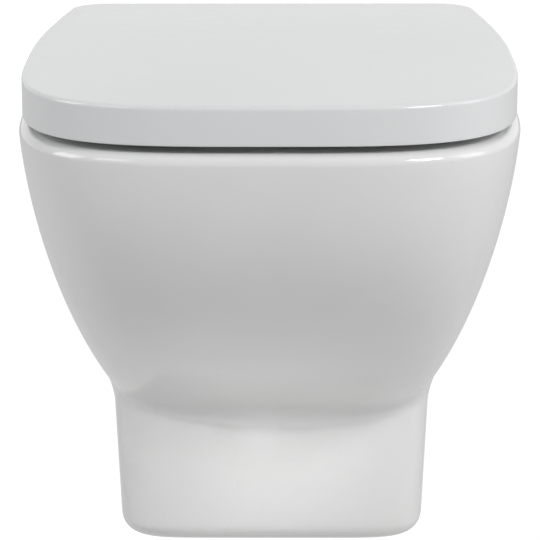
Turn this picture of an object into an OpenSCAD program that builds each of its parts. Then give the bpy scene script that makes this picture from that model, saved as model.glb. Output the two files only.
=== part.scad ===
// Wall hung toilet: ceramic pan, seat ring, wrap-over lid, hinges and hidden wall fixings.
// Origin: midway between the two wall fixings, on the wall plane.
// The pan reaches out along -Y, +X is to the right and +Z is up.

/* [Pan] */
// Overall width of the pan
pan_w = 366; // [354:1:374]
// Projection of the pan from the wall
pan_l = 520; // [510:1:540]
// Rim top above the wall fixings
rim_h = 80; // [76:1:86]
// Underside of the pan below the wall fixings
base_h = 278.5; // [277:0.5:296]
// Width of the pan's top where it meets the wall
wall_w = 296; // [280:1:310]
// Half width lost by the body's side between the rim and the plinth
side_draw = 65.5; // [56:0.5:70]
// Reach lost by the body's front between the rim and the plinth
front_draw = 227; // [216:1:234]
// Depth below the rim over which the body draws in to the plinth
draw_h = 260; // [254:1:266]
// Width of the plinth at its top
plinth_w = 246.5; // [240:0.5:254]
// Narrowing of the plinth's width down to its base
plinth_draft = 9; // [0:1:14]
// Reach of the plinth's front from the wall
plinth_l = 303; // [296:1:310]
// Depth of the plinth's rounded front
plinth_s = 110; // [100:1:120]
// Rounding of the rim's outer edge
rim_round = 8; // [5:0.5:12]
// Rounding of the base's edge
base_round = 16; // [10:1:22]
// Thickness of the ceramic wall
wall_t = 10; // [8:1:12]
// Thickness of the bowl's and the trap's wall
shell_t = 9; // [8:0.5:10]
// Thickness of the deck behind the bowl
deck_t = 14; // [12:1:16]

/* [Bowl] */
// Width of the bowl's mouth
mouth_w = 240; // [220:1:250]
// Ceramic left in front of the mouth
mouth_front = 42; // [38:1:48]
// Distance from the wall to the back of the mouth
mouth_back = 154; // [148:1:162]
// Rounding of the mouth's edge
mouth_round = 4; // [3:0.5:5]
// Width of the bowl below the lip
bowl_w = 276; // [260:1:284]
// Ceramic and hollow left in front of the bowl below the lip
bowl_front = 27; // [25:1:32]
// Distance from the wall to the bowl below the lip
bowl_back = 140; // [134:1:145]
// Thickness of the lip that hangs round the mouth
lip_t = 8; // [6:1:9]
// Depth of the lip below the rim top
lip_h = 34; // [28:1:38]
// Height of the flush channel behind the lip
channel_h = 20; // [16:1:22]
// Rounding of the channel's roof
channel_round = 6; // [4:1:8]
// Step from the trap's bore out to the bowl's well
well_step = 2; // [1:0.5:3]

/* [Trap and outlet] */
// Inside radius of the trap's bend
trap_r = 34; // [30:1:36]
// Radius of the bend's centre line
bend_r = 50; // [48:1:54]
// Distance from the wall to the middle of the bend
bend_y = 193; // [188:1:198]
// Lowest point of the bend's centre line below the fixings
bend_h = 232; // [228:1:234]
// Angle of the trap's rising leg
rise = 70; // [66:1:72]
// Radius of the leg's turn into the outlet
leg_r = 75; // [72:1:78]
// Outlet centre below the wall fixings
outlet_h = 100; // [95:1:105]
// Outside diameter of the outlet spigot
outlet_d = 102; // [100:1:104]
// Inside diameter of the outlet spigot
outlet_bore = 84; // [80:1:86]
// Set-back of the spigot's end from the wall
outlet_back = 22; // [15:1:26]
// Length of the round part of the spigot
outlet_len = 34; // [30:1:38]

/* [Inlet] */
// Inlet centre above the wall fixings
inlet_h = 35; // [30:1:36]
// Bore of the flush inlet
inlet_d = 55; // [54:0.5:56]
// Depth of the inlet bore
inlet_len = 44; // [38:1:48]
// Set-back of the inlet's mouth from the wall
inlet_back = 30; // [24:1:34]
// Width of the duct from the inlet to the bowl
duct_d = 40; // [34:1:42]
// How far the duct reaches past the bowl's back
duct_past = 12; // [10:1:14]

/* [Wall fixings] */
// Distance between the two wall fixings
fixing_gap = 180; // [180:50:230]
// Diameter of the bracket's hole for a wall stud
stud_hole_d = 13; // [12.5:0.5:14]
// Diameter of the wall washer
washer_d = 28; // [24:1:30]
// Thickness of the wall washer
washer_t = 2.5; // [2:0.5:3]
// Width of the wall nut across its corners
wall_nut_d = 22; // [21:0.5:24]
// Height of the wall nut
wall_nut_h = 10; // [8:1:12]
// Thickness of the bracket's steel
bracket_t = 5; // [4:1:6]
// Height of the bracket
bracket_h = 40; // [34:1:44]
// Reach of the bracket's arm into the pan
bracket_l = 78; // [72:1:84]
// Bracket's plate past the wall fixing, towards the middle
plate_in = 18; // [16:1:24]
// Gap between the bracket's arm and the boss
arm_gap = 0.5; // [0.3:0.1:1]
// Thickness of the ceramic that the side screw clamps
clamp_t = 9.5; // [8:0.5:11]
// Distance from the wall to the side screw
screw_y = 56; // [50:1:60]
// Diameter of the side screw
screw_d = 8; // [6:1:8]
// Diameter of the side screw's head
head_d = 13; // [12:1:14]
// Height of the side screw's head
head_h = 4.5; // [4:0.5:5]
// Width of the screw's hexagon socket across its corners
hex_d = 6.9; // [5.7:0.1:7]
// Depth of the screw's hexagon socket
hex_h = 3; // [2:0.5:3.5]
// Screw that stands out past its nut
screw_past = 3; // [1:0.5:6]
// Width of the side screw's nut across its corners
clamp_nut_d = 15; // [13:0.5:16]
// Height of the side screw's nut
clamp_nut_h = 6.5; // [5:0.5:8]
// Outside diameter of the side screw's bush
bush_d = 15.6; // [14:0.2:16.4]
// Thickness of the bush's flange
flange_t = 2; // [1.6:0.1:2.4]
// Flange's edge inside the recess
flange_in = 1; // [0.5:0.1:1.5]
// Ceramic round the side screw's recess
boss_t = 7; // [6:0.5:9]
// Diameter of the cover cap
cap_d = 25.6; // [24:0.2:27]
// How far the cover cap stands out of the body
cap_proud = 0.9; // [0.6:0.1:1.2]
// Thickness of the cover cap's face, in front of the screw's head
cap_face = 3.2; // [2.8:0.1:3.6]
// Room in the cap round the screw's head
head_side = 1.5; // [1:0.1:2]
// Room in the cap in front of the screw's head
head_front = 0.8; // [0.5:0.1:1]

/* [Lid] */
// Width of the lid
lid_w = 360; // [348:1:370]
// Distance from the wall to the lid's front edge
lid_reach = 518; // [508:1:538]
// Distance from the wall to the lid's back edge
lid_back = 84; // [83:0.5:86]
// Width of the lid across its back edge
lid_back_w = 320; // [310:1:326]
// Height of the lid's skirt
lid_skirt = 28; // [26:0.5:28.5]
// Gap between the skirt and the rim
lid_gap = 5.5; // [4.5:0.1:6]
// Thickness of the lid's panel and skirt
lid_t = 4; // [3.5:0.1:4.4]
// Rounding of the lid's top edge
lid_round = 3; // [2:0.2:3.6]
// Rounding of the lid's back corners
lid_corner = 30; // [20:1:34]
// Distance from the hinge axis forward to the end of the skirt
skirt_end_y = 52; // [48:1:60]
// How far the skirt's end leans back
skirt_lean = 17; // [14:1:22]

/* [Seat ring] */
// Thickness of the seat ring
ring_t = 17; // [14:0.5:18]
// Gap between the ring and the lid's skirt
ring_clear = 2.2; // [1.6:0.1:3]
// Gap between the ring and the rim
ring_lift = 8; // [7:0.2:8.6]
// Width of the hole in the seat ring
hole_w = 222; // [205:1:230]
// Length of the hole in the seat ring
hole_l = 282; // [265:1:290]
// Distance from the wall to the back of the ring's hole
hole_back = 186; // [180:1:192]
// Rounding of the ring's edges
ring_round = 5; // [3:0.5:6]

/* [Buffers] */
// Diameter of the buffers under the ring
seat_foot_d = 18; // [14:1:22]
// Diameter of the buffers under the lid
lid_foot_d = 12; // [10:1:14]
// Taper of the buffers across their height
foot_draft = 2; // [0:0.5:3]
// Back pair under the ring: distance beside and in front of the hole's back edge
back_foot_x = 30; // [26:1:34]
back_foot_y = 30; // [20:1:60]
// Front pair under the ring: distance beside and in front of the hole's back edge
front_foot_x = 18; // [14:1:22]
front_foot_y = 203; // [180:1:215]
// Side pair under the lid: distance beside and in front of the hole's back edge
side_foot_x = 24; // [20:1:30]
side_foot_y = 99; // [80:1:120]
// Front pair under the lid: distance from the middle and in front of the hole
nose_foot_x = 60; // [40:1:70]
nose_foot_y = 16; // [14:1:20]

/* [Hinges] */
// Distance between the two hinge posts
hinge_gap = 155; // [145:1:165]
// Distance from the wall to the hinge axis
hinge_y = 76; // [75:0.5:76.5]
// Hinge axis above the rim
hinge_h = 22.5; // [22.1:0.1:22.7]
// Diameter of the hinge pin
pin_d = 7; // [6:0.2:7.4]
// Outside diameter of the lid's knuckles
knuckle_d = 13; // [12:0.2:13.2]
// Outside diameter of the ring's knuckles
ring_knuckle_d = 12; // [11.4:0.2:12.6]
// How far the lugs reach in under the lid and into the ring
lug_in = 6; // [5:0.5:7]
// Diameter of the dampers
damper_d = 10; // [9.4:0.2:10.2]
// Width of the post between the knuckles
post_w = 12; // [10:0.5:13]
// Thickness of the post from front to back
post_d = 12.8; // [11:0.1:12.8]
// Length of the lid's knuckle
lid_knuckle_l = 26; // [20:1:28]
// Length of the ring's knuckle
ring_knuckle_l = 28; // [22:1:30]
// Length of the caps on the pins' inner ends
pin_cap_l = 1.6; // [1:0.2:3]
// Diameter of the post's base
base_d = 48; // [46:1:50]
// Thickness of the post's base
base_t = 4; // [3.6:0.1:4.2]
// Bevel of the base's edge
base_edge = 1; // [0.5:0.1:1.5]
// Thickness of the gasket under the base
gasket_t = 0.5; // [0.4:0.1:0.8]
// Diameter of the release button
button_d = 8; // [7:0.2:8.4]
// Height of the release button
button_h = 3.4; // [3:0.1:3.8]
// Bevel of the release button
button_edge = 0.6; // [0.3:0.1:0.8]
// Distance from the hinge axis back to the release button
button_y = 18; // [17.6:0.1:19]
// Travel of the release button
button_travel = 2; // [1.5:0.1:2]
// Diameter of the hinge hole in the deck
deck_hole_d = 14; // [13:0.5:16]
// Diameter of the stud under the post
stud_d = 6; // [5:0.5:6]
// How far the stud screws into the post
stud_in = 6; // [5:0.5:8]
// Stud that stands out under the bush
stud_end = 12; // [11:0.5:16]
// Length of the rubber bush under the deck's top
bush_l = 36; // [30:1:40]
// Thickness of the stud's washer
stud_washer_t = 1.6; // [1.2:0.1:2]
// Width of the stud's nut across its corners
bush_nut_d = 11.5; // [10:0.1:12]
// Height of the stud's nut
bush_nut_h = 5; // [4:0.5:6]

/* [Fits] */
// Radial clearance of a pin that turns
run_fit = 0.05; // [0.03:0.01:0.08]
// Clearance between pieces that move past each other
side_gap = 1; // [0.6:0.1:1.4]
// Clearance of a loose piece in its seat
seat_fit = 0.2; // [0.1:0.05:0.3]

/* [Hidden] */
$fn = 48;
// Clear overrun of a cutting tool, and a contact that only has to break a shared face
over = 1;
touch = 0.01;
// Points round a quarter of a plan outline
q = 11;
// Side curve, front curve and back taper of the body, as powers
side_pow = 1.43;
front_pow = 2.3;
taper_pow = 1.61;
// Plan curve of the body's and the lid's front corners, and of the plinth's
plan_x = 3.51;
plan_y = 4.29;
plinth_pow = 8;
// Share of the reach that the rounded front takes
nose = 0.435;
// Blend between the body and the plinth, at the side and at the front
blend_side = 8;
blend_front = 34;
// Depth below the plinth's top where the hidden body stops tapering
hold_h = 40;
// Levels below and above the plinth's top that are cut finer
neck_low = 26;
neck_high = 54;
// Point that the body's outlines are measured from
hub_y = -190;
// How far the raw outlines run past the wall before they are cut
past = 30;
// Bowl outline's roundness and the rounding power of its walls
bowl_pow = 2.5;
bowl_curve = 1.5;
// Angle of the bend where the bowl's well meets it
well_angle = 20;

rim_z = rim_h;
base_z = -base_h;
neck_z = rim_z - draw_h;
lid_top = rim_z + lid_gap + lid_skirt;
lid_in = lid_top - lid_t;
ring_bot = rim_z + ring_lift;
ring_top = ring_bot + ring_t;
ring_in = lid_t + ring_clear;
axis_z = rim_z + hinge_h;
axis_y = -hinge_y;
bowl_z = rim_z - lip_h;
mouth_y = mouth_front - pan_l;
bowl_y = bowl_front - pan_l;
well_r = trap_r + well_step;
well_y = -bend_y - bend_r * cos(well_angle);
well_z = -bend_h + bend_r * (1 - sin(well_angle));
post_x = hinge_gap / 2;
lid_knuckle_x = post_x - post_w / 2 - side_gap - lid_knuckle_l;
ring_knuckle_x = post_x + post_w / 2 + side_gap;
bush_bot = rim_z - bush_l;

function signed_pow(a, n) = sign(a) * pow(abs(a), n);
function smooth_max(a, b, k) =
    let (h = max(k - abs(a - b), 0) / k)
    max(a, b) + h * h * k / 4;
// Levels from a to b in n steps
function steps(a, b, n) = [for (i = [0 : n]) a + (b - a) * i / n];
// Inset of a rounded edge of radius r, at a distance d from its face
function edge_in(r, d) = d >= r ? 0 : r - sqrt(r * r - (r - d) * (r - d));

// Half width of the body and its reach, at a depth t below the rim
function body_w(t) = pan_w / 2 - side_draw * pow(max(t, 0) / draw_h, side_pow);
function body_l(t) = pan_l - front_draw * pow(max(t, 0) / draw_h, front_pow);
function body_back(t) = body_w(t) * (wall_w / pan_w + (1 - wall_w / pan_w) * min(t / draw_h, 1));
// Half width of the body's side above the plinth, at a height and a distance from the wall
function side_at(z, from) =
    let (t = rim_z - z)
    let (run = (1 - nose) * body_l(t))
    body_w(t) - (body_w(t) - body_back(t)) * pow((run - from) / run, taper_pow);
// Half width of the plinth
function plinth_half(t) = plinth_w / 2 - plinth_draft / 2 * (t - draw_h) / (rim_h + base_h - draw_h);

// Side screw: seat of its bush's flange, outer face of the bracket's arm and the screw's inner end
seat_x = side_at(0, screw_y) - cap_face - head_front - head_h - flange_t;
arm_x = seat_x - clamp_t - arm_gap;
screw_end = arm_x - bracket_t - clamp_nut_h - screw_past;

// True where a point lies inside a plan outline
function inside(x, y, w, l, s, back, px, py) =
    let (shoulder = s - l)
    y > past ? false :
    y > shoulder ? x < w - (w - back) * pow((y - shoulder) / -shoulder, taper_pow) :
    pow(x / w, px) + pow((shoulder - y) / s, py) < 1;
// Distance from the hub to a plan outline along one direction
function reach(c, s, lo, hi, n, v) =
    n == 0 ? (lo + hi) / 2 :
    let (m = (lo + hi) / 2)
    inside(m * c, hub_y + m * s, v[0], v[1], v[2], v[3], v[4], v[5]) ?
        reach(c, s, m, hi, n - 1, v) : reach(c, s, lo, m, n - 1, v);

// Outline of the body and its plinth at one height
function body_ring(z, in) =
    let (t = rim_z - z)
    // Inside the plinth the body stops tapering, so that it still holds the hub
    let (d = min(t, draw_h + hold_h))
    let (v1 = [body_w(d) - in, body_l(d) - in, nose * body_l(d), body_back(d) - in, plan_x, plan_y])
    let (pw = plinth_half(t) - in)
    let (v2 = [pw, plinth_l - in, plinth_s, pw, plinth_pow, plinth_pow])
    let (half = [for (a = steps(-90, 90, 2 * q))
        let (c = cos(a))
        let (s = sin(a))
        let (k = blend_side + (blend_front - blend_side) * pow(max(-s, 0), 4))
        let (r = smooth_max(reach(c, s, 0, 2 * pan_l, 18, v1), reach(c, s, 0, 2 * pan_l, 18, v2), k))
        [r * c, hub_y + r * s, z]])
    concat(half, [for (i = [len(half) - 2 : -1 : 1]) [-half[i][0], half[i][1], z]]);

// Closed solid through a list of rings, from the lowest to the highest
module loft(rings) {
    n = len(rings[0]);
    m = len(rings);
    polyhedron(
        points = [for (r = rings) each r],
        faces = concat(
            [[for (i = [0 : n - 1]) i]],
            [for (k = [0 : m - 2], i = [0 : n - 1])
                [k * n + i, (k + 1) * n + i, k * n + (i + 1) % n]],
            [for (k = [0 : m - 2], i = [0 : n - 1])
                [k * n + (i + 1) % n, (k + 1) * n + i, (k + 1) * n + (i + 1) % n]],
            [[for (i = [n - 1 : -1 : 0]) (m - 1) * n + i]]));
}

// One piece on each side, mirrored
module pair() {
    for (m = [0, 1])
        mirror([m, 0, 0])
            children();
}

// Round bar along +Y, from a distance behind the wall
module along_y(r, from, len, z, sides = 64) {
    translate([0, -from, z])
        rotate([90, 0, 0])
            cylinder(r = r, h = len, $fn = sides);
}

// Round bar along +X at the side screw
module side_rod(d, x, len, sides = 48) {
    translate([x, -screw_y, 0])
        rotate([0, 90, 0])
            cylinder(d = d, h = len, $fn = sides);
}

// Round bar along the hinge axis
module bar(r, x, len) {
    translate([x, axis_y, axis_z])
        rotate([0, 90, 0])
            cylinder(r = r, h = len);
}

// Round bar standing in the hinge's hole in the deck
module upright(d, z, len) {
    translate([post_x, axis_y, z])
        cylinder(d = d, h = len);
}

// Outside of the pan, still running past the wall
module body_solid() {
    low = [for (a = [0 : 22.5 : 90]) base_z + base_round * (1 - cos(a))];
    mid = steps(neck_z - neck_low, neck_z + neck_high, 10);
    up = steps(neck_z + 1.3 * neck_high, rim_z - rim_round, 7);
    high = [for (a = [22.5 : 22.5 : 90]) rim_z - rim_round * (1 - sin(a))];
    loft([for (z = concat(low, mid, up, high))
        body_ring(z, edge_in(base_round, z - base_z) + edge_in(rim_round, rim_z - z))]);
}

// Hollow between the outer wall and the bowl, open at the wall
module body_hollow() {
    lo = base_z + wall_t;
    mid = concat([lo + base_round / 2], steps(neck_z - neck_low, neck_z + neck_high, 5));
    up = steps(neck_z + 1.5 * neck_high, rim_z - deck_t, 6);
    intersection() {
        loft([for (z = concat([lo], mid, up))
            body_ring(z, wall_t + (z == lo ? base_round / 3 : 0))]);
        translate([-pan_w, -pan_l, -2 * base_h])
            cube([2 * pan_w, pan_l + past / 2, 3 * base_h]);
    }
}

// Egg outline with half width a, between a front and a back
function oval(a, front, back, z) =
    [for (i = [0 : 4 * q - 1])
        let (g = 360 * i / (4 * q))
        [a * signed_pow(cos(g), 2 / bowl_pow),
            (front + back) / 2 + (back - front) / 2 * signed_pow(sin(g), 2 / bowl_pow), z]];
function mouth_ring(grow, z) = oval(mouth_w / 2 + grow, mouth_y - grow, grow - mouth_back, z);
function bowl_ring(grow, z) = oval(bowl_w / 2 + grow, bowl_y - grow, grow - bowl_back, z);
function hole_ring(grow, z) = oval(hole_w / 2 + grow, -hole_back - hole_l - grow, grow - hole_back, z);

// Bowl below the lip, grown outwards by a wall
function bowl_rings(grow) =
    [for (u = [0, 0.07, 0.15, 0.25, 0.36, 0.48, 0.6, 0.72, 0.84, 0.93, 1])
        let (f = pow(sin(90 * u), bowl_curve))
        oval(well_r + (bowl_w / 2 - well_r) * f + grow,
            well_y - well_r + (bowl_y - well_y + well_r) * f - grow,
            well_y + well_r + (-bowl_back - well_y - well_r) * f + grow,
            well_z + (bowl_z - well_z) * u)];

// Ring tube in the middle plane along a path of [y, z, angle, radius]
module tube(path, grow) {
    loft([for (p = path) [for (i = [0 : 23])
        let (r = p[3] + grow)
        [-r * cos(15 * i), p[0] - r * sin(15 * i) * sin(p[2]), p[1] + r * sin(15 * i) * cos(p[2])]]]);
}

// Trap: down round the bend, up the rising leg and over to the outlet
bend_end = [-bend_y + bend_r * sin(rise), -bend_h + bend_r * (1 - cos(rise))];
leg_h = -outlet_h - leg_r * (1 - cos(rise)) - bend_end[1];
leg_end = [bend_end[0] + leg_h / tan(rise), bend_end[1] + leg_h];
trap_path = concat(
    [for (a = steps(-90, rise, 10))
        [-bend_y + bend_r * sin(a), -bend_h + bend_r * (1 - cos(a)), a, trap_r]],
    [for (a = steps(rise, 0, 4))
        [leg_end[0] + leg_r * (sin(rise) - sin(a)), leg_end[1] + leg_r * (cos(a) - cos(rise)), a,
            trap_r + (outlet_bore / 2 - trap_r) * (1 - a / rise)]],
    [[-outlet_back - outlet_len + over, -outlet_h, 0, outlet_bore / 2]]);

// Neck behind the inlet's socket, which ends in the bowl's wall, and the socket's root
module inlet_neck() {
    root = inlet_back + inlet_len;
    along_y(rim_z - deck_t - inlet_h + over, root, bowl_back - root + duct_past / 3, inlet_h, 32);
    along_y(inlet_d / 2 + shell_t, root, wall_t, inlet_h, 32);
}

// Everything of the ceramic but its round sockets and holes
module ceramic_body() {
    difference() {
        intersection() {
            union() {
                difference() {
                    body_solid();
                    body_hollow();
                }
                loft(concat(bowl_rings(shell_t), [bowl_ring(shell_t, rim_z - deck_t + over)]));
                tube(trap_path, shell_t);
                inlet_neck();
                pair()
                    side_rod(cap_d + 2 * boss_t, seat_x - clamp_t, pan_w / 2 - seat_x + clamp_t, 32);
            }
            body_solid();
            translate([-pan_w, -2 * pan_l, -2 * base_h])
                cube([2 * pan_w, 2 * pan_l, 3 * base_h]);
        }
        loft(bowl_rings(0));
        tube(trap_path, 0);
        bowl_mouth();
        along_y(duct_d / 2, inlet_back + inlet_len - over,
            bowl_back + duct_past - inlet_back - inlet_len + over, inlet_h, 32);
    }
}

// Mouth of the bowl with the flush channel behind its lip
module bowl_mouth() {
    loft([mouth_ring(0, bowl_z - 2 * over), mouth_ring(0, rim_z - mouth_round),
        mouth_ring(0.3 * mouth_round, rim_z - 0.3 * mouth_round),
        mouth_ring(mouth_round, rim_z + touch)]);
    difference() {
        loft([bowl_ring(0, bowl_z - touch), bowl_ring(0, bowl_z + channel_h - channel_round),
            bowl_ring(-channel_round * 2 / 3, bowl_z + channel_h)]);
        loft([mouth_ring(lip_t, bowl_z - over), mouth_ring(lip_t, rim_z)]);
    }
}

module pan() {
    color("white")
        difference() {
            union() {
                resize([pan_w, 0, 0])
                    ceramic_body();
                along_y(outlet_d / 2, outlet_back, outlet_len, -outlet_h);
                along_y(inlet_d / 2 + shell_t, inlet_back, inlet_len + over, inlet_h);
            }
            along_y(outlet_bore / 2, outlet_back - over, outlet_len + 2 * over, -outlet_h);
            along_y(inlet_d / 2, inlet_back - over, inlet_len + over, inlet_h);
            along_y(duct_d / 2, inlet_back, inlet_len + 2 * over, inlet_h);
            pair() {
                upright(deck_hole_d, rim_z - deck_t - 2 * over, deck_t + 4 * over);
                side_rod(cap_d + 2 * seat_fit, seat_x, pan_w / 2 - seat_x);
                side_rod(bush_d + 2 * seat_fit, arm_x - over, seat_x - arm_x + 2 * over);
            }
        }
}

// Plan outline of the lid and the ring, moved in by a distance
function lid_ring(z, in) =
    let (w = lid_w / 2)
    let (s = nose * lid_reach)
    let (shoulder = s - lid_reach)
    let (r = lid_corner)
    let (front = [for (g = steps(-90, 0, 2 * q))
        let (c = signed_pow(cos(g), 2 / plan_x))
        [max(w * c - in * pow(c, 0.5), 0), shoulder + (s - in) * signed_pow(sin(g), 2 / plan_y)]])
    let (side = [for (y = steps(shoulder, -lid_back - r, 5))
        [w - in - (w - lid_back_w / 2) * pow((y - shoulder) / (-lid_back - shoulder), taper_pow), y]])
    let (x = side[5][0] - r)
    let (corner = [for (a = [18 : 18 : 90]) [x + r * cos(a), -lid_back - r + (r - in) * sin(a)]])
    let (half = concat(front, [for (i = [1 : 5]) side[i]], corner))
    concat([for (p = half) [p[0], p[1], z]],
        [for (i = [len(half) - 1 : -1 : 1]) [-half[i][0], half[i][1], z]]);

// Cut that ends the skirt in front of the hinges, so that the lid swings clear of the ring
module skirt_end() {
    top = lid_in - axis_z;
    low = -hinge_h - over;
    translate([-lid_w, axis_y, axis_z])
        rotate([90, 0, 90])
            linear_extrude(2 * lid_w)
                polygon([[-skirt_end_y, low], [skirt_lean - skirt_end_y, top - lid_t],
                    [skirt_lean + lid_t - skirt_end_y, top], [hinge_y, top], [hinge_y, low]]);
}

// Knuckle behind the lid's back edge, inside of the post
module lid_knuckle() {
    bar(knuckle_d / 2, lid_knuckle_x, lid_knuckle_l);
    translate([lid_knuckle_x, -lid_back - lug_in, axis_z - knuckle_d / 2])
        cube([lid_knuckle_l, lid_back + lug_in - hinge_y, lid_in + over - axis_z + knuckle_d / 2]);
}

module lid() {
    top_levels = [for (a = [0 : 18 : 90]) lid_top - lid_round * (1 - sin(a))];
    color("whitesmoke")
        difference() {
            union() {
                difference() {
                    loft([for (z = concat([rim_z + lid_gap], top_levels))
                        lid_ring(z, edge_in(lid_round, lid_top - z))]);
                    loft([lid_ring(rim_z, lid_t), lid_ring(lid_in - lid_round / 2, lid_t),
                        lid_ring(lid_in, lid_t + lid_round / 2)]);
                    skirt_end();
                }
                pair()
                    lid_knuckle();
            }
            pair()
                bar(damper_d / 2, lid_knuckle_x - over, lid_knuckle_l + 2 * over);
        }
}

// Knuckle behind the ring's back edge, outside of the post
module ring_knuckle() {
    y = -lid_back - ring_in - lug_in;
    z = axis_z - ring_knuckle_d / 2;
    bar(ring_knuckle_d / 2, ring_knuckle_x, ring_knuckle_l);
    translate([ring_knuckle_x, y, z])
        cube([ring_knuckle_l, axis_y - y, ring_top - ring_round / 10 - z]);
}

module seat_ring() {
    // The notch clears the corner of the lid's lug as it swings
    notch_y = axis_y - norm([lid_back + lug_in - hinge_y, knuckle_d / 2]) - side_gap;
    notch_x = lid_knuckle_x - 2 * side_gap;
    color("whitesmoke")
        difference() {
            union() {
                difference() {
                    loft([lid_ring(ring_bot, ring_in + over), lid_ring(ring_bot + over, ring_in),
                        lid_ring(ring_top - ring_round, ring_in),
                        lid_ring(ring_top - ring_round * 0.4, ring_in + ring_round * 0.2),
                        lid_ring(ring_top - ring_round * 0.1, ring_in + ring_round * 0.56),
                        lid_ring(ring_top, ring_in + ring_round)]);
                    loft([hole_ring(0, ring_bot - over), hole_ring(0, ring_top - ring_round),
                        hole_ring(ring_round * 0.2, ring_top - ring_round * 0.4),
                        hole_ring(ring_round, ring_top + touch)]);
                    pair()
                        translate([notch_x, notch_y, ring_bot - over])
                            cube([ring_knuckle_x - notch_x, hinge_y, ring_t + 2 * over]);
                }
                pair()
                    ring_knuckle();
            }
            pair()
                bar(damper_d / 2, ring_knuckle_x - over, ring_knuckle_l + over);
        }
}

// Round feet at a list of places
module feet(places, d, z, h) {
    pair()
        for (p = places)
            translate([p[0], p[1], z])
                cylinder(d1 = d - foot_draft, d2 = d, h = h, $fn = 32);
}

module seat_buffers() {
    color("gainsboro")
        feet([[hole_w / 2 + back_foot_x, -hole_back - back_foot_y],
            [hole_w / 2 + front_foot_x, -hole_back - front_foot_y]],
            seat_foot_d, rim_z + seat_fit, ring_lift - seat_fit);
}

module lid_buffers() {
    color("gainsboro")
        feet([[hole_w / 2 + side_foot_x, -hole_back - side_foot_y],
            [nose_foot_x, -hole_back - hole_l - nose_foot_y]],
            lid_foot_d, ring_top + seat_fit, lid_in - ring_top - seat_fit);
}

module hinge_posts() {
    color("silver")
        pair()
            difference() {
                union() {
                    bar(post_d / 2, post_x - post_w / 2, post_w);
                    translate([post_x - post_w / 2, axis_y - post_d / 2, rim_z + base_t])
                        cube([post_w, post_d, hinge_h - base_t]);
                }
                bar(pin_d / 2, post_x - post_w, 2 * post_w);
                upright(stud_d, rim_z, base_t + stud_in);
            }
}

// Round way through the base or its gasket for the release button
module button_hole() {
    translate([post_x, axis_y + button_y, rim_z - over])
        cylinder(d = button_d + 2 * seat_fit, h = base_t + 2 * over);
}

module hinge_bases() {
    color("silver")
        pair()
            difference() {
                translate([post_x, axis_y, rim_z])
                    rotate_extrude()
                        polygon([[0, gasket_t], [base_d / 2, gasket_t], [base_d / 2, base_t - base_edge],
                            [base_d / 2 - base_edge, base_t], [0, base_t]]);
                upright(stud_d, rim_z - over, base_t + 2 * over);
                button_hole();
            }
}

module hinge_pins() {
    color("silver")
        pair()
            bar(pin_d / 2, lid_knuckle_x, lid_knuckle_l + post_w + 2 * side_gap + ring_knuckle_l);
}

module pin_caps() {
    color("dimgray")
        pair()
            bar(damper_d / 2 - seat_fit, lid_knuckle_x - pin_cap_l, pin_cap_l);
}

// Sleeve that brakes the turning piece on the pin
module damper(x, len) {
    difference() {
        bar(damper_d / 2, x, len);
        bar(pin_d / 2 + run_fit, x - over, len + 2 * over);
    }
}

module lid_dampers() {
    color("dimgray")
        pair()
            damper(lid_knuckle_x, lid_knuckle_l);
}

module ring_dampers() {
    color("dimgray")
        pair()
            damper(ring_knuckle_x, ring_knuckle_l);
}

module hinge_studs() {
    color("silver")
        pair()
            upright(stud_d, bush_bot - stud_end, bush_l + stud_end + base_t + stud_in);
}

module deck_gaskets() {
    color("dimgray")
        pair()
            difference() {
                upright(base_d - 2 * base_edge, rim_z, gasket_t);
                upright(deck_hole_d, rim_z - over, 3 * over);
                button_hole();
            }
}

// Round piece with the stud through it
module on_stud(d, z, len, sides = 48) {
    difference() {
        translate([post_x, axis_y, z])
            cylinder(d = d, h = len, $fn = sides);
        upright(stud_d, z - over, len + 2 * over);
    }
}

module expansion_bushes() {
    color("dimgray")
        pair()
            on_stud(deck_hole_d - 2 * seat_fit, bush_bot, bush_l + gasket_t);
}

module bush_washers() {
    color("silver")
        pair()
            on_stud(deck_hole_d - 2 * seat_fit, bush_bot - stud_washer_t, stud_washer_t);
}

module bush_nuts() {
    color("silver")
        pair()
            on_stud(bush_nut_d, bush_bot - stud_washer_t - bush_nut_h, bush_nut_h, 6);
}

// Button that frees the seat from the post's base
module release_button(side) {
    translate([side * post_x, axis_y + button_y, rim_z + button_travel + seat_fit])
        rotate_extrude()
            polygon([[0, 0], [button_d / 2, 0], [button_d / 2, button_h - button_edge],
                [button_d / 2 - button_edge, button_h], [0, button_h]]);
}

module release_button_left() {
    color("silver")
        release_button(-1);
}

module release_button_right() {
    color("silver")
        release_button(1);
}

module wall_brackets() {
    plate_x = fixing_gap / 2 - plate_in;
    color("lightgray")
        pair()
            difference() {
                union() {
                    translate([plate_x, -bracket_t, -bracket_h / 2])
                        cube([arm_x - plate_x, bracket_t, bracket_h]);
                    translate([arm_x - bracket_t, -bracket_l, -bracket_h / 2])
                        cube([bracket_t, bracket_l, bracket_h]);
                }
                translate([fixing_gap / 2, 0, 0])
                    along_y(stud_hole_d / 2, -over, bracket_t + 2 * over, 0, 48);
                side_rod(screw_d, arm_x - bracket_t - over, bracket_t + 2 * over);
            }
}

// Round or hexagonal ring on a wall stud
module stud_ring(from, d, h, sides) {
    pair()
        translate([fixing_gap / 2, 0, 0])
            difference() {
                along_y(d / 2, from, h, 0, sides);
                along_y(stud_hole_d / 2, from - over, h + 2 * over, 0, 48);
            }
}

module wall_washers() {
    color("silver")
        stud_ring(bracket_t, washer_d, washer_t, 48);
}

module wall_nuts() {
    color("silver")
        stud_ring(bracket_t + washer_t, wall_nut_d, wall_nut_h, 6);
}

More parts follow.
